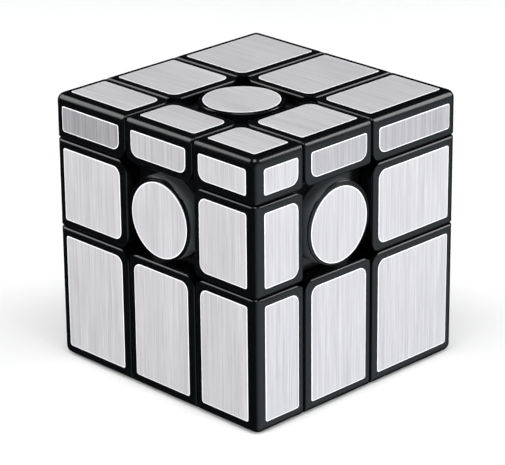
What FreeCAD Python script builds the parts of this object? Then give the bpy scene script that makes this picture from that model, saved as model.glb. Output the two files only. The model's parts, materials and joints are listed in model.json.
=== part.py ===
# Mirror block cube: a 3 x 3 x 3 twisting puzzle whose layers have different thicknesses.
# Units are mm, +Z is up, the cube stands on z = 0 and is centred on x = y = 0.
# Every piece is drawn in its own local frame around the core centre and then placed.
import FreeCAD, Part
import os

from FreeCAD import Placement, Rotation, Vector

# ---- overall size and layer proportions ----
CUBE = 56.0                        # edge of the cube
UNIT = CUBE / 30                   # the layers are whole multiples of this
LAYERS_X = (11, 10, 9)             # left, middle, right
LAYERS_Y = (7, 10, 13)             # front, middle, back
LAYERS_Z = (15, 10, 5)             # bottom, middle, top
HALF_UNITS = 5                     # half of a middle layer
HALF_MID = HALF_UNITS * UNIT       # the cuts lie this far from the core centre

# ---- turning mechanism, shared by all six faces ----
HUB_PLANE = 5.6                    # inner limit of a turning layer, measured from the core centre
FLANK_IN, FLANK_OUT = 13.6, 16.2   # radius of the conical flank at the hub plane and at the cut
GAP = 0.1                          # each side of every running gap

# ---- plastic blocks ----
OUTER_R = 1.7                      # rounding of the cube's own edges
CUT_R = 0.7                        # rounding along the cuts
CENTRE_R = 3.0                     # rounding of block corners beside a face centre
WALL = 1.3                         # wall of the hollow casings
FOOT = 5.0                         # depth of the foot insert past the cut
FIT = 0.05                         # gap around parts pressed together

# ---- mirror stickers ----
STICKER = 0.2                      # sticker thickness, sunk flush
MARGIN = 1.65                      # black border between a sticker and the cut
OUTER_MARGIN = 2.35                # black border between a sticker and the cube's own edge
STICKER_R = 0.5
STICKER_CENTRE_R = 1.8             # sticker corner beside a face centre

# ---- centre pieces ----
BOSS_R = 8.5                       # round boss that carries the cap
BOSS_RISE, TOP_RISE = 3.3, 1.8     # boss height above its square base, and on the thin top layer
BOSS_ROOT = 0.6                    # overlap of the boss with its base
BASE_ROUND, BOSS_ROUND, CAP_ROUND = 0.5, 0.35, 0.12
CAP_R, CAP_T = 7.95, 1.2
SKIRT_T, SKIRT_DEPTH = 0.95, 1.5   # ring under the cap that locates it in the hollow boss
PLUG_DEPTH = 1.0                   # stub under the cap of the solid boss
DISC_R = 7.65                      # round sticker
HOLLOW_R, HOLLOW_FLOOR = 7.2, 17.6
HOLLOW_LEAST = 1.0                 # shallower bosses are left solid
SPRING_BORE_R, SPRING_FLOOR = 3.1, 9.8
ARM_BORE_R, ARM_BORE_TOP = 3.2, 8.6
SCREW_HOLE_R = 1.5

# ---- core and hardware ----
CORE_HALF = HUB_PLANE - GAP
CORE_ROUND = 1.2
ARM_R, ARM_TOP, ARM_CHAMFER = 3.0, 8.4, 0.4
SHANK_R, SHANK_START = 1.25, 3.0
POINT = 0.4                        # chamfer at the tip of the screw
THREAD_FIT, BORE_EXTRA = 0.02, 0.3 # bore wider and deeper than the screw
HEAD_R, HEAD_BASE, HEAD_T = 2.6, 13.7, 1.8
HEAD_DOME = ((0, 0.7), (0.35, 0.2), (0.9, 0))    # steps in from the rim and down from the top
SLOT_HALF_LENGTH, SLOT_HALF_WIDTH, SLOT_DEPTH = 1.6, 0.3, 0.9
WASHER_R, WASHER_HOLE_R, WASHER_T = 2.6, 1.35, 0.4
WIRE_R, COIL_R, COIL_TURNS = 0.25, 2.2, 3
SEAT_PLAY, HEAD_PLAY = 0.15, 0.02  # free space under and over the spring

FACES = {
    "right": (Vector(1, 0, 0), (LAYERS_X[2] + HALF_UNITS) * UNIT),
    "left": (Vector(-1, 0, 0), (LAYERS_X[0] + HALF_UNITS) * UNIT),
    "back": (Vector(0, 1, 0), (LAYERS_Y[2] + HALF_UNITS) * UNIT),
    "front": (Vector(0, -1, 0), (LAYERS_Y[0] + HALF_UNITS) * UNIT),
    "top": (Vector(0, 0, 1), (LAYERS_Z[2] + HALF_UNITS) * UNIT),
    "bottom": (Vector(0, 0, -1), (LAYERS_Z[0] + HALF_UNITS) * UNIT),
}
CORE_CENTRE = Vector(CUBE / 2 - FACES["right"][1], CUBE / 2 - FACES["back"][1],
                     CUBE - FACES["top"][1])
ORIGIN = Vector(0, 0, 0)
UP = Vector(0, 0, 1)
FAR = 60.0                         # beyond the outside of the cube


# ---------------------------------------------------------------- small helpers
def box(x, y, z):
    """A box from three (low, high) ranges."""
    return Part.makeBox(x[1] - x[0], y[1] - y[0], z[1] - z[0], Vector(x[0], y[0], z[0]))


def rod(radius, low, high):
    """A cylinder on the local Z axis."""
    return Part.makeCylinder(radius, high - low, Vector(0, 0, low))


def turned(points):
    """A solid of revolution about local Z from (r, z) points."""
    outline = Part.makePolygon([Vector(r, 0, z) for r, z in points + points[:1]])
    return Part.Face(outline).revolve(ORIGIN, UP, 360)


def cycle(shape, steps):
    """Turn a shape about the local diagonal, so that Z becomes X, then Y."""
    return shape.rotated(ORIGIN, Vector(1, 1, 1), 120 * steps)


def rounded_plate(u, v, z, radii):
    """A plate with its own radius at corners (u0,v0), (u1,v0), (u1,v1) and (u0,v1)."""
    corners = [Vector(u[0], v[0], z[0]), Vector(u[1], v[0], z[0]),
               Vector(u[1], v[1], z[0]), Vector(u[0], v[1], z[0])]
    arcs = []
    for k, (corner, radius) in enumerate(zip(corners, radii)):
        before = (corners[k - 1] - corner).normalize() * radius
        after = (corners[(k + 1) % 4] - corner).normalize() * radius
        middle = corner + (before + after) * (1 - 0.5 ** 0.5)
        arcs.append(Part.Arc(corner + before, middle, corner + after))
    edges = []
    for k, arc in enumerate(arcs):
        edges += [arc.toShape(), Part.makeLine(arc.EndPoint, arcs[(k + 1) % 4].StartPoint)]
    return Part.Face(Part.Wire(edges)).extrude(Vector(0, 0, z[1] - z[0]))


def edges_where(shape, test):
    return [e for e in shape.Edges if test(e.CenterOfMass)]


def sharp_edges(shape):
    """Edges whose two faces meet at a real angle."""
    def angle(edge):
        point = edge.valueAt((edge.FirstParameter + edge.LastParameter) / 2)
        faces = shape.ancestorsOfType(edge, Part.Face)
        normals = [face.normalAt(*face.Surface.parameter(point)) for face in faces]
        return normals[0].getAngle(normals[-1])

    return [edge for edge in shape.Edges if angle(edge) > 0.2]


def near(a, b):
    return abs(a - b) < 1e-6


def placed(shape, x_to, y_to, z_to):
    """Turn a local shape to its place around the core and move it to the cube's frame."""
    moved = shape.copy()
    moved.Placement = Placement(CORE_CENTRE, Rotation(x_to, y_to, z_to, "XYZ")) * shape.Placement
    return moved


# ---------------------------------------------------------------- turning regions
def turning_region(grow):
    """Everything that one face carries round with it, about local Z, offset outward by grow."""
    lean = (FLANK_OUT - FLANK_IN) / (HALF_MID - HUB_PLANE)
    widen = grow * ((1 + lean * lean) ** 0.5 - lean)
    low, cut = HUB_PLANE - grow, HALF_MID - grow
    return turned([(0, low), (FLANK_IN + widen, low), (FLANK_OUT + widen, cut),
                   (FAR, cut), (FAR, FAR), (0, FAR)])


INSIDE = turning_region(-GAP)      # for pieces that the face carries
OUTSIDE = turning_region(GAP)      # to be kept clear by all the others


def towards(region, axis):
    """A turning region pointed along +X, -X, +Y or -Y."""
    return region.rotated(ORIGIN, Vector(-axis.y, axis.x, 0), 90)


def both_ways(region):
    return [region, region.rotated(ORIGIN, Vector(1, 0, 0), 180)]


CUT_LOW = HALF_MID + GAP           # inner side of an outer block
CUT_HIGH = HALF_MID - GAP          # half width of a middle block
FOOT_TOP = HALF_MID + FOOT


# ---------------------------------------------------------------- corner pieces
def corner_foot():
    zone = box(*[(HUB_PLANE, FOOT_TOP)] * 3)
    for region in (INSIDE, towards(INSIDE, Vector(1, 0, 0)), towards(INSIDE, Vector(0, 1, 0))):
        zone = zone.common(region)
    return zone


def corner_block(reach):
    """Rounded outer block of a corner; reach holds the three outer distances."""
    block = box(*[(CUT_LOW, d) for d in reach])
    on_outside = lambda p: sum(near(c, d) for c, d in zip(p, reach)) == 2
    on_inside = lambda p: sum(near(c, CUT_LOW) for c in p) == 2
    block = block.makeFillet(OUTER_R, edges_where(block, on_outside))
    block = block.makeFillet(CENTRE_R, edges_where(block, on_inside))
    return block.makeFillet(CUT_R, sharp_edges(block))


def corner_stickers(reach, slack):
    """Three sticker plates; slack widens them to make the recesses."""
    plates = []
    low = CUT_LOW + MARGIN - slack
    for k in range(3):
        u_high, v_high, height = [reach[(k + i) % 3] for i in range(3)]
        plates.append(cycle(rounded_plate(
            (low, u_high - OUTER_MARGIN + slack), (low, v_high - OUTER_MARGIN + slack),
            (height - STICKER, height),
            (STICKER_CENTRE_R, STICKER_R, STICKER_R, STICKER_R)), k))
    return plates


def corner_piece(foot, reach):
    hollow = box(*[(CUT_LOW + WALL, d - WALL) for d in reach])
    seat = box(*[(0, FOOT_TOP + FIT)] * 3)
    casing = corner_block(reach).cut([seat, hollow] + corner_stickers(reach, FIT))
    return [casing.Solids[0], foot], corner_stickers(reach, 0)


# ---------------------------------------------------------------- edge pieces
def edge_foot():
    zone = box((HUB_PLANE, FOOT_TOP), (HUB_PLANE, FOOT_TOP), (-CUT_HIGH, CUT_HIGH))
    for axis in (Vector(1, 0, 0), Vector(0, 1, 0)):
        zone = zone.common(towards(INSIDE, axis))
    return zone.cut(both_ways(OUTSIDE))


def edge_block(reach):
    """Rounded outer block of an edge; its length runs along local Z."""
    block = box((CUT_LOW, reach[0]), (CUT_LOW, reach[1]), (-CUT_HIGH, CUT_HIGH))

    def beside_centre(p):
        inner = near(p.x, CUT_LOW) + near(p.y, CUT_LOW)
        return inner == 2 or (inner == 1 and near(abs(p.z), CUT_HIGH))

    on_outside = lambda p: near(p.x, reach[0]) and near(p.y, reach[1])
    block = block.makeFillet(OUTER_R, edges_where(block, on_outside))
    block = block.makeFillet(CENTRE_R, edges_where(block, beside_centre))
    return block.makeFillet(CUT_R, sharp_edges(block))


def edge_stickers(reach, slack):
    low = CUT_LOW + MARGIN - slack
    length = (-CUT_HIGH + MARGIN - slack, CUT_HIGH - MARGIN + slack)
    high_x, high_y = [d - OUTER_MARGIN + slack for d in reach]
    on_x = rounded_plate((low, high_y), length,
                         (reach[0] - STICKER, reach[0]),
                         (STICKER_CENTRE_R, STICKER_R, STICKER_R, STICKER_CENTRE_R))
    on_y = rounded_plate(length, (low, high_x),
                         (reach[1] - STICKER, reach[1]),
                         (STICKER_CENTRE_R, STICKER_CENTRE_R, STICKER_R, STICKER_R))
    return [cycle(on_x, 1), cycle(on_y, 2)]


def edge_piece(foot, reach):
    hollow = box(*[(CUT_LOW + WALL, d - WALL) for d in reach], (-CUT_HIGH + WALL, CUT_HIGH - WALL))
    seat = box((0, FOOT_TOP + FIT), (0, FOOT_TOP + FIT), (-FAR, FAR))
    casing = edge_block(reach).cut([seat, hollow] + edge_stickers(reach, FIT))
    return [casing.Solids[0], foot], edge_stickers(reach, 0)


# ---------------------------------------------------------------- centre pieces
def centre_region():
    """Space of a centre piece about local Z, between the four neighbouring faces."""
    span = (-CUT_HIGH, CUT_HIGH)
    zone = rounded_plate(span, span, (HUB_PLANE + GAP, FAR), (CUT_R,) * 4).common(INSIDE)
    sides = [towards(OUTSIDE, Vector(*way)) for way in ((1, 0, 0), (-1, 0, 0), (0, 1, 0), (0, -1, 0))]
    return zone.cut(sides)


def centre_piece(region, height, rise):
    """Hub, cap and round sticker of one face centre."""
    base = height - rise
    cap_seat = height - CAP_T
    hub = region.common(box((-FAR, FAR), (-FAR, FAR), (0, base)))
    hub = hub.makeFillet(BASE_ROUND, edges_where(hub, lambda p: near(p.z, base)))
    boss = rod(BOSS_R, base - BOSS_ROOT, height)
    boss = boss.makeFillet(BOSS_ROUND, edges_where(boss, lambda p: near(p.z, height)))
    hub = hub.fuse(boss)
    roomy = cap_seat - HOLLOW_FLOOR > HOLLOW_LEAST
    tools = [rod(CAP_R + FIT, cap_seat, FAR), rod(SPRING_BORE_R, SPRING_FLOOR, FAR),
             rod(ARM_BORE_R, 0, ARM_BORE_TOP), rod(SCREW_HOLE_R, 0, FAR)]
    if roomy:
        tools.append(rod(HOLLOW_R, HOLLOW_FLOOR, FAR))
    hub = hub.cut(tools).Solids[0]

    under = cap_seat + FIT
    cap = rod(CAP_R, under, height)
    cap = cap.makeFillet(CAP_ROUND, edges_where(cap, lambda p: near(p.z, height)))
    if roomy:
        skirt = rod(HOLLOW_R - FIT, under - SKIRT_DEPTH, under)
        skirt = skirt.cut(rod(HOLLOW_R - FIT - SKIRT_T, 0, FAR))
    else:
        skirt = rod(SPRING_BORE_R - FIT, under - PLUG_DEPTH, under)
    cap = cap.fuse(skirt).cut(rod(DISC_R + FIT, height - STICKER - FIT, FAR)).Solids[0]
    return hub, cap, rod(DISC_R, height - STICKER, height)


# ---------------------------------------------------------------- core and hardware
def core_block():
    half = (-CORE_HALF, CORE_HALF)
    block = box(half, half, half)
    block = block.makeFillet(CORE_ROUND, block.Edges)
    arm = rod(ARM_R, 0, ARM_TOP)
    arm = arm.makeChamfer(ARM_CHAMFER, edges_where(arm, lambda p: near(p.z, ARM_TOP)))
    bore = rod(SHANK_R + THREAD_FIT, SHANK_START - BORE_EXTRA, FAR)
    for steps in range(3):
        for way in both_ways(arm):
            block = block.fuse(cycle(way, steps))
    for steps in range(3):
        block = block.cut([cycle(way, steps) for way in both_ways(bore)])
    return block.Solids[0]


def tension_screw():
    top = HEAD_BASE + HEAD_T
    shank = [(0, SHANK_START), (SHANK_R - POINT, SHANK_START), (SHANK_R, SHANK_START + POINT),
             (SHANK_R, HEAD_BASE), (HEAD_R, HEAD_BASE)]
    dome = [(HEAD_R - inward, top - down) for inward, down in HEAD_DOME]
    screw = turned(shank + dome + [(0, top)])
    slot = box((-SLOT_HALF_LENGTH, SLOT_HALF_LENGTH), (-SLOT_HALF_WIDTH, SLOT_HALF_WIDTH),
               (top - SLOT_DEPTH, FAR))
    return screw.cut([slot, slot.rotated(ORIGIN, UP, 90)])


def spring_washer():
    return rod(WASHER_R, HEAD_BASE - WASHER_T, HEAD_BASE).cut(rod(WASHER_HOLE_R, 0, FAR))


def tension_spring():
    low = SPRING_FLOOR + SEAT_PLAY + WIRE_R
    high = HEAD_BASE - WASHER_T - HEAD_PLAY - WIRE_R
    coil = Part.makeLongHelix((high - low) / COIL_TURNS, high - low, COIL_R)
    section = Part.Wire(Part.makeCircle(WIRE_R, Vector(COIL_R, 0, 0), Vector(0, 1, 0.2)))
    return Part.Wire(coil.Edges).makePipeShell([section], True, True).translated(Vector(0, 0, low))


# ---------------------------------------------------------------- write the nodes
def save(name, solids):
    shape = solids[0] if len(solids) == 1 else Part.makeCompound(solids)
    shape.exportStep("parts/" + name + ".step")


def face_axes(name):
    """Local frame of a face: Z along its outward normal."""
    normal = FACES[name][0]
    side = Vector(normal.y, normal.z, normal.x)
    return normal.cross(side) * -1, side, normal


def main():
    os.makedirs("parts", exist_ok=True)

    save("core", [placed(core_block(), *face_axes("top"))])
    for name, shape in (("tension_screws", tension_screw()), ("spring_washers", spring_washer()),
                        ("tension_springs", tension_spring())):
        save(name, [placed(shape, *face_axes(face)) for face in FACES])

    region = centre_region()
    for name, (normal, height) in FACES.items():
        rise = TOP_RISE if name == "top" else BOSS_RISE
        hub, cap, disc = [placed(s, *face_axes(name)) for s in centre_piece(region, height, rise)]
        save(name + "_centre", [hub, cap])
        save(name + "_centre_sticker", [disc])

    foot = edge_foot()
    for first, second in [("right", "back"), ("right", "front"), ("left", "back"), ("left", "front"),
                          ("right", "top"), ("right", "bottom"), ("left", "top"), ("left", "bottom"),
                          ("back", "top"), ("back", "bottom"), ("front", "top"), ("front", "bottom")]:
        (way_1, reach_1), (way_2, reach_2) = FACES[first], FACES[second]
        axes = (way_1, way_2, way_1.cross(way_2))
        pieces, stickers = edge_piece(foot, (reach_1, reach_2))
        name = "edge_" + first + "_" + second
        save(name, [placed(s, *axes) for s in pieces])
        save(name + "_stickers", [placed(s, *axes) for s in stickers])

    foot = corner_foot()
    for side in ("right", "left"):
        for depth in ("front", "back"):
            for level in ("top", "bottom"):
                names = [side, depth, level]
                ways = [FACES[n][0] for n in names]
                if ways[0].cross(ways[1]).dot(ways[2]) < 0:
                    names[0], names[1] = names[1], names[0]
                axes = [FACES[n][0] for n in names]
                pieces, stickers = corner_piece(foot, [FACES[n][1] for n in names])
                name = "_".join(("corner", side, depth, level))
                save(name, [placed(s, *axes) for s in pieces])
                save(name + "_stickers", [placed(s, *axes) for s in stickers])


main()
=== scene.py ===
"""Looks of a mirror block cube: glossy black blocks, brushed silver foil and steel hardware.

Everything is in metres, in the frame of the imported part: +Z up, the cube standing on z = 0.
"""

import bmesh
import bpy
import json
import math
from mathutils import Matrix, Vector


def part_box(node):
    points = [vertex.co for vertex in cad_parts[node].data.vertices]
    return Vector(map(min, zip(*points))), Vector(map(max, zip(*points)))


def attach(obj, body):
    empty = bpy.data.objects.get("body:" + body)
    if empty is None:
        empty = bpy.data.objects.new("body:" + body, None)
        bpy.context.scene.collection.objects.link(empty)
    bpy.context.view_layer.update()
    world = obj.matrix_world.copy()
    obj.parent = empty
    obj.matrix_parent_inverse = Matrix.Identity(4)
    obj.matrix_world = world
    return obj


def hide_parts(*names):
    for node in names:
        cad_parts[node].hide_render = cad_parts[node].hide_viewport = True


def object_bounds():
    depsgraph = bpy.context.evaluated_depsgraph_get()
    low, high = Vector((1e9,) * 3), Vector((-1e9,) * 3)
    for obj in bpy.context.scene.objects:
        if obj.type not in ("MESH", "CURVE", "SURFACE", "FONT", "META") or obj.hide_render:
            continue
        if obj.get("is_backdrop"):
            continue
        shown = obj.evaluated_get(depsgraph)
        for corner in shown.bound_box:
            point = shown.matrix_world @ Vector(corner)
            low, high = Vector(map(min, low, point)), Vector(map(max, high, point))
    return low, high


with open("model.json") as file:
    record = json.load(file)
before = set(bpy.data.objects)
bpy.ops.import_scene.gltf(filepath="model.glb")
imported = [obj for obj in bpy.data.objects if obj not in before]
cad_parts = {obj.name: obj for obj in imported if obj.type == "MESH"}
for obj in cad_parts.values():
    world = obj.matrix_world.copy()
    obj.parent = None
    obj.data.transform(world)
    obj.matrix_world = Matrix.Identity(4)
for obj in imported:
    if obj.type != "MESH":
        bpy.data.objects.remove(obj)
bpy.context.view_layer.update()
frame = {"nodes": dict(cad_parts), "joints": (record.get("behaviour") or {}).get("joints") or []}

MM = 0.001

# ---- driving dimensions, taken from the frame ----
CUBE_LOW, CUBE_HIGH = (Vector(corner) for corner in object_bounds())
CORE = Vector(frame["joints"][0]["pos_m"])
HUB_LOW, HUB_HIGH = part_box("top_centre")
HALF_MIDDLE = (HUB_HIGH.x - HUB_LOW.x) / 2     # half width of a middle block
RUNNING_GAP = 0.2 * MM

# ---- black blocks ----
OUTER_R = 1.7 * MM                # the cube's own edges
CUT_R = 0.7 * MM                  # edges along a cut
CENTRE_R = 3.0 * MM               # block corners beside a face centre
ROUND_STEPS = 8

# ---- mirror stickers ----
MARGIN = 1.65 * MM                # black border beside a cut
OUTER_MARGIN = 2.35 * MM          # black border beside the cube's own edge
FOIL_T = 0.2 * MM
FOIL_PROUD = 0.05 * MM            # the foil stands this far above the plastic
STICKER_R = 0.5 * MM
STICKER_CENTRE_R = 1.8 * MM
ARC_STEPS, DISC_ARC_STEPS = 6, 24
DISC_R = 7.65 * MM
FULL_ROUND = 0.9999               # corner radius of a round sticker, as a share of its half width
DISC_SHIFT = 0.28 * MM            # the round stickers of the side faces are laid a little low
RIM = 0.16 * MM                   # width of the foil's border, coloured near white as a painted highlight
RIM_ROUND, RIM_STEPS = 0.07 * MM, 2
WELD = 0.001 * MM
# foil brightness by face: painted light, with the top lightest and the right darkest
FACE_TONE_WITH_PAINTED_LIGHT = {"front": 0.64, "left": 0.66, "right": 0.60, "back": 0.66, "top": 0.76, "bottom": 0.70}
THIN_ROW_PAINTED_SHADE = {                 # painted shade: how much darker the thin top layer's foil is, by face and column
    ("front", "left"): 0.30, ("front", "middle"): 0.10, ("front", "right"): 0.0,
    ("right", "front"): 0.0, ("right", "middle"): 0.16, ("right", "back"): 0.18,
    ("left", "front"): 0.10, ("left", "middle"): 0.15, ("left", "back"): 0.20,
    ("back", "left"): 0.20, ("back", "middle"): 0.15, ("back", "right"): 0.22,
}

# ---- round boss of a centre piece: radius, and how far out the part of its wall with painted light starts ----
BOSS_R, BOSS_FROM = 8.5 * MM, 12.0 * MM
WALL_NEAR, WALL_FAR = 0.999, 1.01 # the wall's faces lie between these shares of its radius
WALL_LEAN = 0.2                   # and lean towards the arm by less than this

# ---- hardware ----
COIL_R, WIRE_R, COIL_TURNS = 2.2 * MM, 0.25 * MM, 3.0
COIL_LOW, COIL_HIGH = 10.2 * MM, 13.03 * MM
THREAD_R, THREAD_WIRE, THREAD_TURNS = 1.25 * MM, 0.16 * MM, 11.0
THREAD_LOW, THREAD_HIGH = 3.4 * MM, 8.2 * MM
TURN_STEPS, WIRE_STEPS = 28, 10

# ---- moulded plastic: pattern scales are per metre ----
FLOW_SCALE, GRAIN_SCALE, WEAR_SCALE = 900.0, 5200.0, 260.0
SCRATCH_STRETCHES = (9000, 700, 2600), (800, 7600, 3100)
SCRATCH_FROM, SCRATCH_TO = 0.66, 0.74
WEAR_FROM, WEAR_TO = 0.45, 0.62
SCUFF_ROUGHNESS = 0.35
FLOW_HEIGHT, GRAIN_HEIGHT = 0.7, 0.3
PLASTIC_IOR, PLASTIC_BUMP = 1.5, 0.06

# ---- brushing: scale across the streaks, and how far each pattern is drawn out along them ----
HAIR_SCALE, HAIR_LENGTH = 4600.0, 0.022
STRAND_SCALE, STRAND_LENGTH = 2400.0, 0.012
BAND_SCALE, BAND_LENGTH = 330.0, 0.05

# ---- foil and steel ----
FOIL_FINE, FOIL_BROAD = 0.80, 0.22
# the rim colour, the last of these, is a painted highlight
FOIL_DARK, FOIL_LIGHT, FOIL_RIM_HIGHLIGHT = (0.05, 0.047, 0.053), (0.80, 0.79, 0.815), (0.97, 0.97, 0.98)
FOIL_STREAK, FOIL_STREAK_ROUGHNESS, FOIL_ROUGHNESS = 0.55, 0.5, 0.42
FOIL_METAL, RIM_METAL = 0.25, 0.05
FOIL_BUMP, FOIL_GRAIN = 0.10, 0.01 * MM
STEEL_FINE, STEEL_BROAD, STEEL_DARKEST = 0.5, 0.4, 0.75
STEEL_STREAK_ROUGHNESS = 0.3
STEEL_BUMP, STEEL_GRAIN = 0.15, 0.02 * MM

# ---- meshes made from the CAD ----
CAD_WELD = 0.002 * MM
SMOOTH_UNDER, FOIL_SMOOTH_UNDER, RIM_OVER = math.radians(35), math.radians(25), math.radians(50)
ROUNDING_GAIN = 4.0               # how fast a leaning normal counts as a rounding
FACING = 0.9                      # a normal with more than this along Z faces up

# ---- floor, studio light and camera ----
FLOOR_HALF, FLOOR_GAP = 6.0, 0.01 * MM
FLOOR_DARK, FLOOR_LIGHT, FLOOR_DRIFT, FLOOR_ROUGHNESS = 0.86, 0.90, 6.0, 0.9
SKY_COLOUR = (0.86, 0.95, 1.0)
GLOW_WAY = Vector((0.85, 0.15, -0.37)).normalized()
GLOW_FROM, SKY_DIM, SKY_GLOW = 0.50, 0.015, 1.0
LIGHT_DISTANCE = 0.7
LIGHTS = (                        # name, way, width, height, power, seen mirrored in gloss
    ("left softbox", (-0.66, -0.36, 0.46), 0.32, 0.40, 1.5, True),
    ("left fill", (-0.66, -0.36, 0.50), 0.56, 0.46, 1.4, False),
    ("back right softbox", (0.40, 0.65, 0.41), 0.26, 0.36, 1.6, True),
    ("back right fill", (0.40, 0.65, 0.54), 0.46, 0.40, 1.3, False),
    ("overhead softbox", (0.25, -0.25, 0.95), 0.40, 0.40, 2.2, True),
    ("front fill", (-0.20, -0.95, 0.25), 0.70, 0.35, 4.3, False),
    ("right fill", (0.95, 0.22, 0.25), 0.70, 0.35, 4.75, False))
AZIMUTH, ELEVATION, ROLL = math.radians(45.5), math.radians(21.9), math.radians(-0.56)
VIEW_DISTANCE = 527.0 * MM
VIEW_TARGET = Vector((-1.23, 0.0, 25.63)) * MM
SENSOR, LENS, NEAREST = 36.0, 187.2, 0.01

FACES = {
    "right": Vector((1, 0, 0)), "left": Vector((-1, 0, 0)),
    "back": Vector((0, 1, 0)), "front": Vector((0, -1, 0)),
    "top": Vector((0, 0, 1)), "bottom": Vector((0, 0, -1)),
}
SIDES, DEPTHS, LEVELS = ("right", "left"), ("front", "back"), ("top", "bottom")
EDGES = (
    ("right", "back"), ("right", "front"), ("left", "back"), ("left", "front"),
    ("right", "top"), ("right", "bottom"), ("left", "top"), ("left", "bottom"),
    ("back", "top"), ("back", "bottom"), ("front", "top"), ("front", "bottom"))
CORNERS = [(side, depth, level) for side in SIDES for depth in DEPTHS for level in LEVELS]


def reach(face):
    """Distance from the core centre to a face of the cube."""
    normal = FACES[face]
    corner = CUBE_HIGH if sum(normal) > 0 else CUBE_LOW
    return (corner - CORE).dot(normal)


# ================================================================ node helpers
def add(tree, kind, **settings):
    """Add a node. Settings named like inputs fill sockets; the others are node properties."""
    node = tree.nodes.new(kind)
    for key, value in settings.items():
        if hasattr(node, key):
            setattr(node, key, value)
        else:
            node.inputs[key.replace("_", " ")].default_value = value
    return node


def new_group(name, inputs, outputs):
    """A shader node group with named float, vector or colour sockets."""
    kinds = {"value": "NodeSocketFloat", "vector": "NodeSocketVector", "colour": "NodeSocketColor"}
    group = bpy.data.node_groups.new(name, "ShaderNodeTree")
    for label, kind, default in inputs:
        socket = group.interface.new_socket(label, in_out="INPUT", socket_type=kinds[kind])
        socket.default_value = default
    for label, kind in outputs:
        group.interface.new_socket(label, in_out="OUTPUT", socket_type=kinds[kind])
    return group, group.nodes.new("NodeGroupInput"), group.nodes.new("NodeGroupOutput")


def place_group(tree, group, **values):
    node = tree.nodes.new("ShaderNodeGroup")
    node.node_tree = group
    for key, value in values.items():
        node.inputs[key.replace("_", " ")].default_value = value
    return node


def maths(tree, operation, a, b=None, c=None, clamp=False):
    """A Math node; a, b and c are sockets or numbers."""
    node = tree.nodes.new("ShaderNodeMath")
    node.operation = operation
    node.use_clamp = clamp
    for socket, value in zip(node.inputs, (a, b, c)):
        if isinstance(value, bpy.types.NodeSocket):
            tree.links.new(value, socket)
        elif value is not None:
            socket.default_value = value
    return node.outputs[0]


def noise(tree, vector, scale, detail=2.0, roughness=0.5):
    node = add(tree, "ShaderNodeTexNoise", Scale=scale, Detail=detail, Roughness=roughness)
    tree.links.new(vector, node.inputs["Vector"])
    return node.outputs["Fac"]


def stretched(tree, vector, factors):
    """Object coordinates multiplied per axis, to draw a pattern out along one of them."""
    node = add(tree, "ShaderNodeMapping", vector_type="POINT")
    node.inputs["Scale"].default_value = factors
    tree.links.new(vector, node.inputs["Vector"])
    return node.outputs["Vector"]


def spread(tree, value, low, high, out_low, out_high):
    node = add(tree, "ShaderNodeMapRange",
               From_Min=low, From_Max=high, To_Min=out_low, To_Max=out_high)
    tree.links.new(value, node.inputs["Value"])
    return node.outputs["Result"]


def mixed(tree, factor, a, b):
    """A colour mix; factor is a socket, a and b are sockets or plain colours."""
    node = tree.nodes.new("ShaderNodeMix")
    node.data_type = "RGBA"
    first, second = (next(socket for socket in node.inputs if socket.identifier == f"{label}_Color")
                     for label in "AB")
    tree.links.new(factor, node.inputs["Factor"])
    for socket, value in ((first, a), (second, b)):
        if isinstance(value, bpy.types.NodeSocket):
            tree.links.new(value, socket)
        else:
            socket.default_value = (*value, 1)
    return next(socket for socket in node.outputs if socket.identifier == "Result_Color")


# ================================================================ shared shader groups
def moulding_group():
    """Surface of injection-moulded plastic: faint flow mottle, fine scuffs and rubbed roundings."""
    group, source, result = new_group(
        "Moulded surface",
        [("Vector", "vector", (0, 0, 0)), ("Rounding", "value", 0.0), ("Gloss", "value", 0.25),
         ("Mottle", "value", 0.08), ("Scuffs", "value", 0.1)],
        [("Roughness", "value"), ("Height", "value"), ("Scuff Mask", "value")])
    link = group.links.new
    vector = source.outputs["Vector"]
    mottle = noise(group, vector, FLOW_SCALE, 3.0)
    fine = noise(group, vector, GRAIN_SCALE, 2.0)
    hairs = [noise(group, stretched(group, vector, factors), 1.0, 3.0, 0.6)
             for factors in SCRATCH_STRETCHES]
    crossing = maths(group, "MAXIMUM", *hairs)
    scratches = spread(group, crossing, SCRATCH_FROM, SCRATCH_TO, 0.0, 1.0)
    wear = noise(group, vector, WEAR_SCALE, 3.0, 0.6)
    worn = spread(group, wear, WEAR_FROM, WEAR_TO, 0.0, 1.0)
    rub = maths(group, "MULTIPLY", worn, source.outputs["Rounding"], clamp=True)
    marks = maths(group, "MAXIMUM", scratches, rub)
    mask = maths(group, "MULTIPLY", marks, source.outputs["Scuffs"])
    centred = maths(group, "SUBTRACT", mottle, 0.5)
    swing = maths(group, "MULTIPLY", centred, source.outputs["Mottle"])
    rough = maths(group, "ADD", source.outputs["Gloss"], swing)
    scuffed = maths(group, "MULTIPLY", mask, SCUFF_ROUGHNESS)
    link(maths(group, "ADD", rough, scuffed, clamp=True), result.inputs["Roughness"])
    grain = maths(group, "MULTIPLY", fine, GRAIN_HEIGHT)
    link(maths(group, "MULTIPLY_ADD", mottle, FLOW_HEIGHT, grain), result.inputs["Height"])
    link(mask, result.inputs["Scuff Mask"])
    return group


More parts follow.
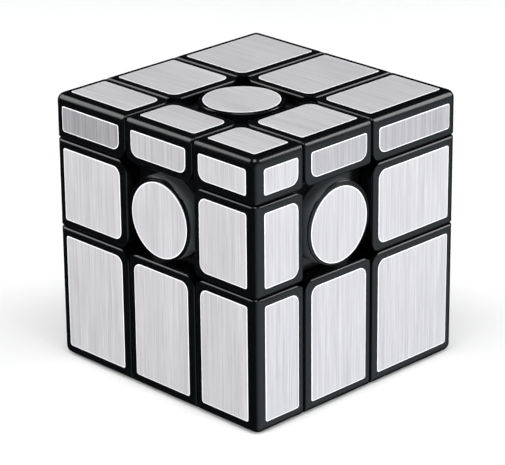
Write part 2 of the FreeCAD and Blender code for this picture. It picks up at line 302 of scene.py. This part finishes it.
def brushing_group():
    """Parallel brushing: fine and coarse streaks drawn out along one axis, with long soft bands."""
    group, source, result = new_group(
        "Brushed streaks",
        [("Vector", "vector", (0, 0, 0)), ("Fine", "value", 0.5), ("Broad", "value", 0.5)],
        [("Streaks", "value"), ("Height", "value")])
    vector = source.outputs["Vector"]
    hair = noise(group, stretched(group, vector, (1, 1, HAIR_LENGTH)), HAIR_SCALE, 2.0, 0.7)
    strand = noise(group, stretched(group, vector, (1, 1, STRAND_LENGTH)), STRAND_SCALE, 3.0, 0.65)
    band = noise(group, stretched(group, vector, (1, 1, BAND_LENGTH)), BAND_SCALE, 2.0, 0.5)
    fine = maths(group, "MULTIPLY", maths(group, "SUBTRACT", hair, 0.5), source.outputs["Fine"])
    middle = maths(group, "MULTIPLY", maths(group, "SUBTRACT", strand, 0.5), source.outputs["Fine"])
    broad = maths(group, "MULTIPLY", maths(group, "SUBTRACT", band, 0.5), source.outputs["Broad"])
    total = maths(group, "ADD", maths(group, "ADD", fine, middle), broad)
    group.links.new(total, result.inputs["Streaks"])
    group.links.new(maths(group, "ADD", hair, strand), result.inputs["Height"])
    return group


MOULDING = moulding_group()
BRUSHING = brushing_group()


# ================================================================ materials
def new_material(name):
    material = bpy.data.materials.new(name)
    material.use_nodes = True
    tree = material.node_tree
    shader = tree.nodes["Principled BSDF"]
    where = tree.nodes.new("ShaderNodeTexCoord").outputs["Object"]
    return material, tree, shader, where


def bump(tree, shader, height, strength, distance):
    node = add(tree, "ShaderNodeBump", Strength=strength, Distance=distance)
    tree.links.new(height, node.inputs["Height"])
    tree.links.new(node.outputs["Normal"], shader.inputs["Normal"])


def attribute(tree, name):
    return add(tree, "ShaderNodeAttribute", attribute_name=name).outputs["Fac"]


def plastic(name, colour, scuffed, gloss, mottle, scuffs, grain):
    """Moulded plastic; colour is the clean shade and scuffed the shade of its rubbed places."""
    material, tree, shader, where = new_material(name)
    surface = place_group(tree, MOULDING, Gloss=gloss, Mottle=mottle, Scuffs=scuffs)
    tree.links.new(where, surface.inputs["Vector"])
    tree.links.new(attribute(tree, "rounding"), surface.inputs["Rounding"])
    shade = mixed(tree, surface.outputs["Scuff Mask"], colour, scuffed)
    tree.links.new(shade, shader.inputs["Base Color"])
    tree.links.new(surface.outputs["Roughness"], shader.inputs["Roughness"])
    shader.inputs["IOR"].default_value = PLASTIC_IOR
    bump(tree, shader, surface.outputs["Height"], PLASTIC_BUMP, grain)
    return material


def brushed_foil(name, turn):
    """Silver foil brushed along Z after the turn; its cut rim is coloured near white, a painted
    highlight.
    """
    material, tree, shader, where = new_material(name)
    along = add(tree, "ShaderNodeMapping", vector_type="POINT")
    along.inputs["Rotation"].default_value = turn
    tree.links.new(where, along.inputs["Vector"])
    streaks = place_group(tree, BRUSHING, Fine=FOIL_FINE, Broad=FOIL_BROAD)
    tree.links.new(along.outputs["Vector"], streaks.inputs["Vector"])
    streak = streaks.outputs["Streaks"]
    # the tone attribute carries each sticker's painted light and painted shade; the streaks are the
    # brushing
    tone_and_painted_light = maths(tree, "MULTIPLY_ADD", streak, FOIL_STREAK, attribute(tree, "tone_and_painted_light"))
    shade = mixed(tree, tone_and_painted_light, FOIL_DARK, FOIL_LIGHT)
    rim = attribute(tree, "rim")
    # the rim's near-white colour is a painted highlight
    tree.links.new(mixed(tree, rim, shade, FOIL_RIM_HIGHLIGHT), shader.inputs["Base Color"])
    rough = maths(tree, "MULTIPLY_ADD", streak, FOIL_STREAK_ROUGHNESS, FOIL_ROUGHNESS, clamp=True)
    tree.links.new(rough, shader.inputs["Roughness"])
    metal = maths(tree, "MULTIPLY_ADD", rim, RIM_METAL - FOIL_METAL, FOIL_METAL)
    tree.links.new(metal, shader.inputs["Metallic"])
    bump(tree, shader, streaks.outputs["Height"], FOIL_BUMP, FOIL_GRAIN)
    return material


def steel(name, tint, gloss):
    """Drawn or turned steel; gloss is its mean roughness."""
    material, tree, shader, where = new_material(name)
    streaks = place_group(tree, BRUSHING, Fine=STEEL_FINE, Broad=STEEL_BROAD)
    tree.links.new(where, streaks.inputs["Vector"])
    streak = streaks.outputs["Streaks"]
    dark = tuple(STEEL_DARKEST * c for c in tint)
    shade = mixed(tree, maths(tree, "ADD", streak, 0.5), dark, tint)
    tree.links.new(shade, shader.inputs["Base Color"])
    rough = maths(tree, "MULTIPLY_ADD", streak, STEEL_STREAK_ROUGHNESS, gloss, clamp=True)
    tree.links.new(rough, shader.inputs["Roughness"])
    shader.inputs["Metallic"].default_value = 1.0
    bump(tree, shader, streaks.outputs["Height"], STEEL_BUMP, STEEL_GRAIN)
    return material


BLACK = plastic("Glossy black plastic", (0.0018, 0.0020, 0.0024), (0.02, 0.02, 0.022),
                0.17, 0.04, 0.05, 0.002 * MM)
# grey, not black: painted light on the boss walls, which are the same black plastic as the hub
WALL_SATIN_WITH_PAINTED_LIGHT = plastic("Satin boss walls with painted light", (0.13, 0.14, 0.15), (0.16, 0.17, 0.18),
                     0.48, 0.10, 0.20, 0.004 * MM)
FOOT_BLACK = plastic("Sliding black plastic", (0.008, 0.008, 0.009), (0.05, 0.05, 0.055),
                     0.36, 0.16, 0.45, 0.03 * MM)
CORE_GREY = plastic("Matte core plastic", (0.02, 0.02, 0.022), (0.06, 0.06, 0.065),
                    0.5, 0.2, 0.3, 0.05 * MM)
QUARTER = math.pi / 2
FOIL_UPRIGHT = brushed_foil("Silver foil brushed upright", (0, 0, 0))
FOIL_LEVEL = brushed_foil("Silver foil brushed level", (0, QUARTER, 0))
SCREW_STEEL = steel("Zinc plated screw steel", (0.72, 0.72, 0.74), 0.28)
SPRING_STEEL = steel("Drawn spring steel", (0.55, 0.55, 0.58), 0.22)
WASHER_STEEL = steel("Pressed washer steel", (0.66, 0.66, 0.67), 0.33)


# ================================================================ mesh helpers
def new_object(name, mesh, material):
    mesh.materials.clear()
    mesh.materials.append(material)
    made = bpy.data.objects.new(name, mesh)
    bpy.context.scene.collection.objects.link(made)
    return made


def settled(working):
    """Turn an object's modifiers into plain mesh and drop the working object."""
    graph = bpy.context.evaluated_depsgraph_get()
    mesh = bpy.data.meshes.new_from_object(working.evaluated_get(graph), depsgraph=graph)
    bpy.data.objects.remove(working)
    return mesh


def smoothed(mesh, angle=SMOOTH_UNDER):
    mesh.shade_smooth()
    mesh.set_sharp_from_angle(angle=angle)


def weigh_normals(mesh, name, material):
    """A finished object whose flat faces stay flat beside their roundings."""
    working = new_object(name + "_work", mesh, material)
    modifier = working.modifiers.new("Flat faces first", "WEIGHTED_NORMAL")
    modifier.weight = 100
    modifier.keep_sharp = True
    return new_object(name, settled(working), material)


def mark_rounding(mesh):
    """Store how far each point's normal leans away from the axes: 0 on flats, 1 on roundings."""
    values = []
    for vertex in mesh.vertices:
        straightest = max(abs(c) for c in vertex.normal)
        values.append(min(1.0, (1.0 - straightest) * ROUNDING_GAIN))
    store = mesh.attributes.new("rounding", "FLOAT", "POINT")
    store.data.foreach_set("value", values)


def cad_islands(node):
    """Merged copies of a CAD node's separate solids, largest first."""
    whole = bmesh.new()
    whole.from_mesh(frame["nodes"][node].data)
    bmesh.ops.remove_doubles(whole, verts=whole.verts, dist=CAD_WELD)
    whole.verts.ensure_lookup_table()
    left = set(whole.verts)
    islands = []
    while left:
        heap = [left.pop()]
        members = {heap[0]}
        while heap:
            for edge in heap.pop().link_edges:
                for vertex in edge.verts:
                    if vertex in left:
                        left.discard(vertex)
                        members.add(vertex)
                        heap.append(vertex)
        islands.append(members)
    meshes = []
    for members in islands:
        index = {v: i for i, v in enumerate(members)}
        faces = [[index[v] for v in f.verts] for f in whole.faces if f.verts[0] in members]
        mesh = bpy.data.meshes.new(node)
        mesh.from_pydata([v.co for v in members], [], faces)
        span = [max(v.co[k] for v in members) - min(v.co[k] for v in members) for k in range(3)]
        meshes.append((sum(span), mesh))
    whole.free()
    meshes.sort(key=lambda pair: -pair[0])
    return [mesh for _, mesh in meshes]


def finish_cad(mesh, name, material):
    """A finished object from the mesh of one CAD solid."""
    smoothed(mesh)
    mark_rounding(mesh)
    return weigh_normals(mesh, name, material)


# ================================================================ black blocks
def block_limits(faces):
    """Low and high corners of the block that carries these faces, and its outer planes."""
    low = CORE - Vector((HALF_MIDDLE,) * 3)
    high = CORE + Vector((HALF_MIDDLE,) * 3)
    outer = set()
    for face in faces:
        normal = FACES[face]
        axis = max(range(3), key=lambda k: abs(normal[k]))
        near = HALF_MIDDLE + RUNNING_GAP
        ends = sorted((CORE[axis] + normal[axis] * near, CORE[axis] + normal[axis] * reach(face)))
        low[axis], high[axis] = ends
        outer.add((axis, normal[axis] > 0))
    return low, high, outer


def rounded_block(name, faces):
    """A moulded block whose edges are rounded by where they lie."""
    low, high, outer = block_limits(faces)
    shell = bmesh.new()
    bmesh.ops.create_cube(shell, size=1.0)
    middle, span = (low + high) / 2, high - low
    for vertex in shell.verts:
        vertex.co = Vector(middle[k] + vertex.co[k] * span[k] for k in range(3))
    weight = shell.edges.layers.float.new("bevel_weight_edge")
    for edge in shell.edges:
        ends = [v.co for v in edge.verts]
        planes = [(k, ends[0][k] > middle[k]) for k in range(3) if ends[0][k] == ends[1][k]]
        radius = (CENTRE_R, CUT_R, OUTER_R)[sum(plane in outer for plane in planes)]
        edge[weight] = radius / CENTRE_R
    mesh = bpy.data.meshes.new(name)
    shell.to_mesh(mesh)
    shell.free()
    working = new_object(name + "_work", mesh, BLACK)
    bevel = working.modifiers.new("Moulded radii", "BEVEL")
    bevel.limit_method = "WEIGHT"
    bevel.width = CENTRE_R
    bevel.segments = ROUND_STEPS
    bevel.use_clamp_overlap = False
    rounded = settled(working)
    rounded.shade_smooth()
    mark_rounding(rounded)
    return weigh_normals(rounded, name, BLACK)


# ================================================================ mirror stickers
def sticker_tree():
    """Geometry Nodes: a flat plate with its own radius at each corner, lying on local XY."""
    tree = bpy.data.node_groups.new("Sticker plate", "GeometryNodeTree")
    face = tree.interface
    face.new_socket("Geometry", in_out="INPUT", socket_type="NodeSocketGeometry")
    labels = ("Length U", "Length V", "Thickness", "Radius 1", "Radius 2", "Radius 3", "Radius 4")
    for label in labels:
        face.new_socket(label, in_out="INPUT", socket_type="NodeSocketFloat")
    face.new_socket("Arc Steps", in_out="INPUT", socket_type="NodeSocketInt")
    face.new_socket("Material", in_out="INPUT", socket_type="NodeSocketMaterial")
    face.new_socket("Geometry", in_out="OUTPUT", socket_type="NodeSocketGeometry")
    source, result = tree.nodes.new("NodeGroupInput"), tree.nodes.new("NodeGroupOutput")
    link = tree.links.new

    outline = tree.nodes.new("GeometryNodeCurvePrimitiveQuadrilateral")
    link(source.outputs["Length U"], outline.inputs["Width"])
    link(source.outputs["Length V"], outline.inputs["Height"])

    radius = tree.nodes.new("GeometryNodeIndexSwitch")
    radius.data_type = "FLOAT"
    while len(radius.index_switch_items) < 4:
        radius.index_switch_items.new()
    link(tree.nodes.new("GeometryNodeInputIndex").outputs[0], radius.inputs[0])
    for k in range(4):
        link(source.outputs[f"Radius {k + 1}"], radius.inputs[k + 1])

    fillet = add(tree, "GeometryNodeFilletCurve", mode="POLY")
    link(outline.outputs[0], fillet.inputs["Curve"])
    link(source.outputs["Arc Steps"], fillet.inputs["Count"])
    link(radius.outputs[0], fillet.inputs["Radius"])

    fill = add(tree, "GeometryNodeFillCurve", mode="NGONS")
    link(fillet.outputs[0], fill.inputs["Curve"])
    rise = tree.nodes.new("ShaderNodeCombineXYZ")
    link(source.outputs["Thickness"], rise.inputs["Z"])
    extrude = tree.nodes.new("GeometryNodeExtrudeMesh")
    extrude.inputs["Individual"].default_value = False
    link(fill.outputs[0], extrude.inputs["Mesh"])
    link(rise.outputs[0], extrude.inputs["Offset"])
    under = tree.nodes.new("GeometryNodeFlipFaces")
    link(fill.outputs[0], under.inputs["Mesh"])
    join = tree.nodes.new("GeometryNodeJoinGeometry")
    link(under.outputs[0], join.inputs[0])
    link(extrude.outputs["Mesh"], join.inputs[0])
    weld = tree.nodes.new("GeometryNodeMergeByDistance")
    weld.inputs["Distance"].default_value = WELD
    link(join.outputs[0], weld.inputs["Geometry"])
    realize = tree.nodes.new("GeometryNodeRealizeInstances")
    link(weld.outputs[0], realize.inputs[0])
    paint = tree.nodes.new("GeometryNodeSetMaterial")
    link(realize.outputs[0], paint.inputs["Geometry"])
    link(source.outputs["Material"], paint.inputs["Material"])
    link(paint.outputs[0], result.inputs[0])
    return tree


def run_tree(name, tree, mesh, values):
    """Evaluate a Geometry Nodes tree on a mesh, with its inputs set by identifier."""
    working = bpy.data.objects.new(name + "_work", mesh)
    bpy.context.scene.collection.objects.link(working)
    modifier = working.modifiers.new("Nodes", "NODES")
    modifier.node_group = tree
    for item in tree.interface.items_tree:
        if item.in_out == "INPUT" and item.name in values:
            modifier[item.identifier] = values[item.name]
    return settled(working)


STICKER_TREE = sticker_tree()


def foil_plate(name, spans, radii, place, tone_and_painted_light, steps=ARC_STEPS):
    """One sticker as mesh in the cube's frame, with its rim rounded off and marked."""
    level = abs((place.to_3x3() @ Vector((0, 0, 1))).z) > FACING
    foil = FOIL_LEVEL if level else FOIL_UPRIGHT
    values = {"Length U": spans[0], "Length V": spans[1], "Thickness": FOIL_T + FOIL_PROUD,
              "Arc Steps": steps, "Material": foil}
    for k, radius in enumerate(radii):
        values[f"Radius {k + 1}"] = radius
    plate = run_tree(name, STICKER_TREE, bpy.data.meshes.new(name), values)
    sheet = bmesh.new()
    sheet.from_mesh(plate)
    upper = [face for face in sheet.faces if face.normal.z > FACING]
    bmesh.ops.inset_region(sheet, faces=upper, thickness=RIM)
    sheet.to_mesh(plate)
    sheet.free()
    working = new_object(name + "_work", plate, foil)
    bevel = working.modifiers.new("Cut rim", "BEVEL")
    bevel.width = RIM_ROUND
    bevel.segments = RIM_STEPS
    bevel.limit_method = "ANGLE"
    bevel.angle_limit = RIM_OVER
    mesh = settled(working)
    widest = max(face.area for face in mesh.polygons if face.normal.z > FACING)
    brushed = [face.area == widest for face in mesh.polygons]
    mesh.transform(place)
    smoothed(mesh, FOIL_SMOOTH_UNDER)
    # the rim faces get the painted highlight
    rim = mesh.attributes.new("rim", "FLOAT", "FACE")
    rim.data.foreach_set("value", [0.0 if b else 1.0 for b in brushed])
    # this sticker's painted light and painted shade
    shade = mesh.attributes.new("tone_and_painted_light", "FLOAT", "FACE")
    shade.data.foreach_set("value", [tone_and_painted_light] * len(mesh.polygons))
    return weigh_normals(mesh, name, foil)


def face_matrix(face, centre, u, v):
    """Place a plate drawn on XY onto a face of the cube, with its top outward."""
    normal = FACES[face]
    turn = Matrix((u, v, normal)).transposed().to_4x4()
    return Matrix.Translation(centre) @ turn


def sticker_on(name, faces, face):
    """The sticker that a block shows on one of its faces."""
    low, high, outer = block_limits(faces)
    normal = FACES[face]
    axis = max(range(3), key=lambda k: abs(normal[k]))
    u_axis, v_axis = ((axis + 1) % 3, (axis + 2) % 3)
    if normal[axis] < 0:
        u_axis, v_axis = v_axis, u_axis
    limits = {}
    for k in (u_axis, v_axis):
        margins = [OUTER_MARGIN if (k, side) in outer else MARGIN for side in (False, True)]
        limits[k] = (low[k] + margins[0], high[k] - margins[1])
    centre = Vector((0, 0, 0))
    centre[axis] = (high if normal[axis] > 0 else low)[axis] - normal[axis] * FOIL_T
    for k, (start, end) in limits.items():
        centre[k] = (start + end) / 2
    spans = [limits[k][1] - limits[k][0] for k in (u_axis, v_axis)]
    # the outline's corners run (+u, +v), (-u, +v), (-u, -v), (+u, -v)
    radii = []
    for u_side, v_side in ((True, True), (False, True), (False, False), (True, False)):
        inner = (u_axis, u_side) not in outer and (v_axis, v_side) not in outer
        radii.append(STICKER_CENTRE_R if inner else STICKER_R)
    u, v = (Vector([float(k == which) for k in range(3)]) for which in (u_axis, v_axis))
    return foil_plate(name, spans, radii, face_matrix(face, centre, u, v), sticker_brightness_with_painted_light(faces, face))


def sticker_brightness_with_painted_light(faces, face):
    """Foil brightness of one sticker, with painted light: each face has its own, and the thin
    layer's is darker as painted shade.
    """
    tone_and_painted_light = FACE_TONE_WITH_PAINTED_LIGHT[face]
    if "top" in faces and face != "top":
        others = [other for other in faces if other not in (face, "top")]
        tone_and_painted_light -= THIN_ROW_PAINTED_SHADE[face, others[0] if others else "middle"]
    return tone_and_painted_light


# ================================================================ coils on the six arms
def coil_tree():
    """Geometry Nodes: one helical wire stood on every arm of the core."""
    tree = bpy.data.node_groups.new("Coils on the arms", "GeometryNodeTree")
    face = tree.interface
    face.new_socket("Geometry", in_out="INPUT", socket_type="NodeSocketGeometry")
    for label in ("Coil Radius", "Wire Radius", "Turns", "Start", "Height"):
        face.new_socket(label, in_out="INPUT", socket_type="NodeSocketFloat")
    face.new_socket("Material", in_out="INPUT", socket_type="NodeSocketMaterial")
    face.new_socket("Geometry", in_out="OUTPUT", socket_type="NodeSocketGeometry")
    source, result = tree.nodes.new("NodeGroupInput"), tree.nodes.new("NodeGroupOutput")
    link = tree.links.new

    spiral = add(tree, "GeometryNodeCurveSpiral", Resolution=TURN_STEPS)
    link(source.outputs["Turns"], spiral.inputs["Rotations"])
    link(source.outputs["Coil Radius"], spiral.inputs["Start Radius"])
    link(source.outputs["Coil Radius"], spiral.inputs["End Radius"])
    link(source.outputs["Height"], spiral.inputs["Height"])
    wire = add(tree, "GeometryNodeCurvePrimitiveCircle", Resolution=WIRE_STEPS)
    link(source.outputs["Wire Radius"], wire.inputs["Radius"])
    sweep = tree.nodes.new("GeometryNodeCurveToMesh")
    sweep.inputs["Fill Caps"].default_value = True
    link(spiral.outputs[0], sweep.inputs["Curve"])
    link(wire.outputs[0], sweep.inputs["Profile Curve"])
    lift = tree.nodes.new("ShaderNodeCombineXYZ")
    link(source.outputs["Start"], lift.inputs["Z"])
    shift = tree.nodes.new("GeometryNodeTransform")
    link(sweep.outputs[0], shift.inputs["Geometry"])
    link(lift.outputs[0], shift.inputs["Translation"])

    way = add(tree, "GeometryNodeInputNamedAttribute", data_type="FLOAT_VECTOR")
    way.inputs["Name"].default_value = "way"
    align = add(tree, "FunctionNodeAlignRotationToVector", axis="Z")
    link(way.outputs["Attribute"], align.inputs["Vector"])
    stand = tree.nodes.new("GeometryNodeInstanceOnPoints")
    link(source.outputs["Geometry"], stand.inputs["Points"])
    link(shift.outputs[0], stand.inputs["Instance"])
    link(align.outputs[0], stand.inputs["Rotation"])
    realize = tree.nodes.new("GeometryNodeRealizeInstances")
    link(stand.outputs[0], realize.inputs[0])
    smooth = tree.nodes.new("GeometryNodeSetShadeSmooth")
    link(realize.outputs[0], smooth.inputs["Geometry"])
    paint = tree.nodes.new("GeometryNodeSetMaterial")
    link(smooth.outputs[0], paint.inputs["Geometry"])
    link(source.outputs["Material"], paint.inputs["Material"])
    link(paint.outputs[0], result.inputs[0])
    return tree


COIL_TREE = coil_tree()


def coils(name, coil_radius, wire_radius, turns, start, end, material):
    """One object with a coil round every arm, from start to end along it."""
    arms = bpy.data.meshes.new(name)
    arms.from_pydata([CORE] * len(FACES), [], [])
    ways = arms.attributes.new("way", "FLOAT_VECTOR", "POINT")
    ways.data.foreach_set("vector", [c for normal in FACES.values() for c in normal])
    values = {"Coil Radius": coil_radius, "Wire Radius": wire_radius, "Turns": turns,
              "Start": start, "Height": end - start, "Material": material}
    return new_object(name, run_tree(name, COIL_TREE, arms, values), material)


# ================================================================ the pieces
def build_core():
    """The core with its arms, and the screws, washers and springs on them."""
    core = finish_cad(cad_islands("core")[0], "core_with_arms", CORE_GREY)
    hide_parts("core")
    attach(core, "core")
    for node, label, material in (("tension_screws", "screw", SCREW_STEEL),
                                  ("spring_washers", "washer", WASHER_STEEL)):
        made = [finish_cad(mesh, f"{label}_{k + 1}", material)
                for k, mesh in enumerate(cad_islands(node))]
        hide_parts(node)
        for piece in made:
            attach(piece, "core")
    threads = coils("screw_threads", THREAD_R, THREAD_WIRE, THREAD_TURNS,
                    THREAD_LOW, THREAD_HIGH, SCREW_STEEL)
    springs = coils("coil_springs", COIL_R, WIRE_R, COIL_TURNS, COIL_LOW, COIL_HIGH, SPRING_STEEL)
    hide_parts("tension_springs")
    for piece in (threads, springs):
        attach(piece, "core")


def paint_light_on_boss_wall(mesh, normal):
    """Give the upright wall of the round boss its satin finish and a grey colour that is painted
    light, standing in for the light the wall would catch.
    """
    mesh.materials.append(WALL_SATIN_WITH_PAINTED_LIGHT)
    for face in mesh.polygons:
        outward = face.center - CORE
        height = outward.dot(normal)
        radial = outward - normal * height
        upright = abs(face.normal.dot(normal)) < WALL_LEAN
        on_wall = WALL_NEAR * BOSS_R < radial.length < WALL_FAR * BOSS_R
        if upright and height > BOSS_FROM and on_wall:
            face.material_index = 1


def build_centre(face):
    """Square hub with its round boss, cap and round sticker."""
    node = face + "_centre"
    hub_mesh, cap_mesh = cad_islands(node)
    normal = FACES[face]
    hub = finish_cad(hub_mesh, face + "_hub", BLACK)
    # only the four side bosses get walls with painted light; the top and bottom ones stay black
    if normal.z == 0:
        paint_light_on_boss_wall(hub.data, normal)
    cap = finish_cad(cap_mesh, face + "_cap", BLACK)
    u = Vector((normal.y, normal.z, normal.x))
    v = normal.cross(u)
    centre = CORE + normal * (reach(face) - FOIL_T)
    if normal.z == 0:
        centre.z -= DISC_SHIFT
    disc = foil_plate(face + "_round_sticker", (2 * DISC_R,) * 2, (DISC_R * FULL_ROUND,) * 4,
                      face_matrix(face, centre, u, v), sticker_brightness_with_painted_light((face,), face), DISC_ARC_STEPS)
    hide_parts(node)
    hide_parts(node + "_sticker")
    for piece, slot in ((hub, "black_plastic"), (cap, "black_plastic"), (disc, "silver_foil")):
        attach(piece, node)


def build_block(kind, faces):
    """Block, foot insert and stickers of an edge or corner piece."""
    node = "_".join((kind, *faces))
    block = rounded_block(node + "_block", faces)
    foot = finish_cad(cad_islands(node)[-1], node + "_foot", FOOT_BLACK)
    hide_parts(node)
    stickers = [sticker_on(f"{node}_sticker_{face}", faces, face) for face in faces]
    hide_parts(node + "_stickers")
    for piece, slot in [(block, "black_plastic"), (foot, "black_plastic")] + [
            (sticker, "silver_foil") for sticker in stickers]:
        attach(piece, node)


build_core()
for face in FACES:
    build_centre(face)
for faces in EDGES:
    build_block("edge", faces)
for faces in CORNERS:
    build_block("corner", faces)


# ================================================================ floor, light and camera
def floor_material():
    material, tree, shader, where = new_material("Pale floor")
    drift = noise(tree, where, FLOOR_DRIFT, 2.0)
    shade = mixed(tree, drift, (FLOOR_DARK,) * 3, (FLOOR_LIGHT,) * 3)
    tree.links.new(shade, shader.inputs["Base Color"])
    shader.inputs["Roughness"].default_value = FLOOR_ROUGHNESS
    shader.inputs["Specular IOR Level"].default_value = 0.0
    return material


def area_light(name, place, aim, width, height, power, mirrored):
    """A rectangular light; mirrored says whether glossy surfaces show its reflection."""
    data = bpy.data.lights.new(name, "AREA")
    data.shape = "RECTANGLE"
    data.size, data.size_y = width, height
    data.energy = power
    lamp = bpy.data.objects.new(name, data)
    lamp.location = place
    lamp.visible_glossy = mirrored
    lamp.rotation_euler = (Vector(aim) - Vector(place)).to_track_quat("-Z", "Y").to_euler()
    bpy.context.scene.collection.objects.link(lamp)


def pale_floor():
    """A wide floor just under the bottom stickers, which the gloss does not mirror."""
    mesh = bpy.data.meshes.new("floor")
    level = -(FOIL_PROUD + FLOOR_GAP)
    corners = [(x * FLOOR_HALF, y * FLOOR_HALF, level)
               for x, y in ((-1, -1), (1, -1), (1, 1), (-1, 1))]
    mesh.from_pydata(corners, [], [(0, 1, 2, 3)])
    floor = new_object("floor", mesh, floor_material())
    floor.visible_glossy = False
    floor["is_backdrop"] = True


def studio():
    """A dim sky with a faint glow low on the right, and the lights."""
    world = bpy.data.worlds.new("Studio")
    world.use_nodes = True
    tree = world.node_tree
    sky = tree.nodes["Background"]
    sky.inputs["Color"].default_value = (*SKY_COLOUR, 1)
    towards = add(tree, "ShaderNodeVectorMath", operation="DOT_PRODUCT")
    towards.inputs[1].default_value = GLOW_WAY
    where = tree.nodes.new("ShaderNodeTexCoord").outputs["Generated"]
    tree.links.new(where, towards.inputs[0])
    glow = spread(tree, towards.outputs["Value"], GLOW_FROM, 1.0, SKY_DIM, SKY_GLOW)
    tree.links.new(glow, sky.inputs["Strength"])
    bpy.context.scene.world = world

    middle = (CUBE_LOW + CUBE_HIGH) / 2
    for name, way, *rest in LIGHTS:
        area_light(name, middle + Vector(way).normalized() * LIGHT_DISTANCE, middle, *rest)


def camera():
    """Camera at the viewing angle: azimuth from the front face towards the right one."""
    flat = math.cos(ELEVATION)
    back = Vector((math.sin(AZIMUTH) * flat, -math.cos(AZIMUTH) * flat, math.sin(ELEVATION)))
    right = Vector((0, 0, 1)).cross(back).normalized()
    up = back.cross(right)
    tilt_right = right * math.cos(ROLL) + up * math.sin(ROLL)
    tilt_up = up * math.cos(ROLL) - right * math.sin(ROLL)
    data = bpy.data.cameras.new("camera")
    data.sensor_width = SENSOR
    data.lens = LENS
    data.clip_start = NEAREST
    view = bpy.data.objects.new("camera", data)
    turn = Matrix((tilt_right, tilt_up, back)).transposed().to_4x4()
    view.matrix_world = Matrix.Translation(VIEW_TARGET + back * VIEW_DISTANCE) @ turn
    bpy.context.scene.collection.objects.link(view)
    bpy.context.scene.camera = view


pale_floor()
studio()
camera()
bpy.context.scene.view_settings.view_transform = "Standard"
